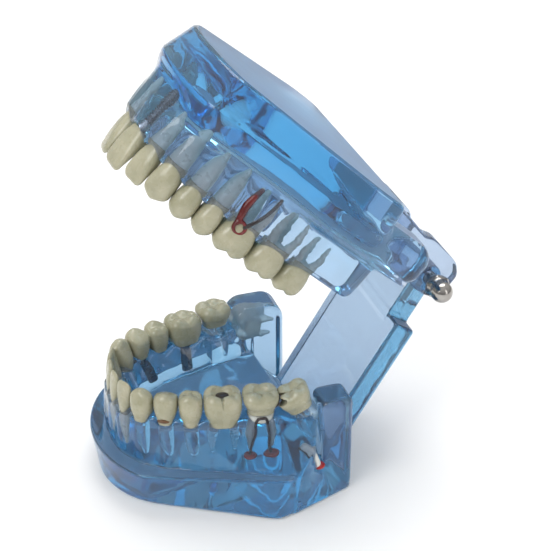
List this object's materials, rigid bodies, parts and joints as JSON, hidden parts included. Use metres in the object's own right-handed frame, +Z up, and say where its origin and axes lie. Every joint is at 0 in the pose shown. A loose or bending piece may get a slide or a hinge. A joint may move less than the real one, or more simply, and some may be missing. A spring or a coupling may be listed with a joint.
{
  "type": "typodont model",
  "caption": "Hinged dental study model: two clear blue resin jaws with ivory teeth, implants, a bridge, a pull-off crown and disease inserts, opening on one rod.",
  "frame": {"origin": "on the flat underside of the lower base, on the midline, 33 mm behind its front edge", "axes": "+Z up, front teeth face -Y, +X towards the left-hand teeth of the model"},
  "size_m": [0.08, 0.1069, 0.1334],
  "materials": {
    "clear_resin": "clear polished cast resin, sky blue",
    "tooth_ivory": "satin ivory",
    "rod_steel": "turned",
    "nut_chrome": "polished nickel",
    "implant_metal": "dark satin",
    "lesion_red": "glossy red",
    "canal_red": "glossy dark red",
    "canal_dark": "glossy near black",
    "decay_brown": "matte brown"
  },
  "bodies": {
    "lower_jaw": {"lower_base": "clear_resin", "lower_bridge": "tooth_ivory", "lower_front_abutment": "implant_metal", "lower_front_implant": "implant_metal", "lower_left_canine": "tooth_ivory", "lower_left_central_incisor": "tooth_ivory", "lower_left_first_molar": "tooth_ivory", "lower_left_first_premolar": "tooth_ivory", "lower_left_lateral_incisor": "tooth_ivory", "lower_left_second_molar": "tooth_ivory", "lower_left_second_premolar": "tooth_ivory", "lower_left_third_molar": "tooth_ivory", "lower_rear_abutment": "implant_metal", "lower_rear_implant": "implant_metal", "lower_right_canine": "tooth_ivory", "lower_right_central_incisor": "tooth_ivory", "lower_right_impacted_molar": "tooth_ivory", "lower_right_lateral_incisor": "tooth_ivory", "lower_right_second_molar": "tooth_ivory", "molar_cavity_decay": "decay_brown", "premolar_neck_decay": "decay_brown", "root_piece": "tooth_ivory", "root_piece_lesion": "lesion_red", "second_molar_canals": "canal_dark", "second_molar_lesions": "lesion_red"},
    "upper_jaw": {"hinge_rod": "rod_steel", "left_cap_nut": "nut_chrome", "molar_thin_canal": "canal_dark", "molar_wide_canal": "canal_red", "right_cap_nut": "nut_chrome", "upper_base": "clear_resin", "upper_left_abutment": "implant_metal", "upper_left_canine": "tooth_ivory", "upper_left_first_molar": "tooth_ivory", "upper_left_first_premolar": "tooth_ivory", "upper_left_implant": "implant_metal", "upper_left_lateral_incisor": "tooth_ivory", "upper_left_second_molar": "tooth_ivory", "upper_left_second_premolar": "tooth_ivory", "upper_left_third_molar": "tooth_ivory", "upper_right_canine": "tooth_ivory", "upper_right_central_incisor": "tooth_ivory", "upper_right_first_molar": "tooth_ivory", "upper_right_first_premolar": "tooth_ivory", "upper_right_lateral_incisor": "tooth_ivory", "upper_right_second_molar": "tooth_ivory", "upper_right_second_premolar": "tooth_ivory", "upper_right_third_molar": "tooth_ivory"},
    "implant_crown": {"upper_left_central_crown": "tooth_ivory"}
  },
  "joints": [
    {"name": "jaw_hinge", "type": "hinge", "parent": "lower_jaw", "child": "upper_jaw", "pos_m": [0, 0.0644, 0.0579], "axis": [-1, 0, 0], "range_deg": [-38.7, 40]},
    {"name": "crown_pull", "type": "slide", "parent": "upper_jaw", "child": "implant_crown", "axis": [0.0386, -0.8248, -0.5642], "range_m": [0, 0.01]}
  ]
}
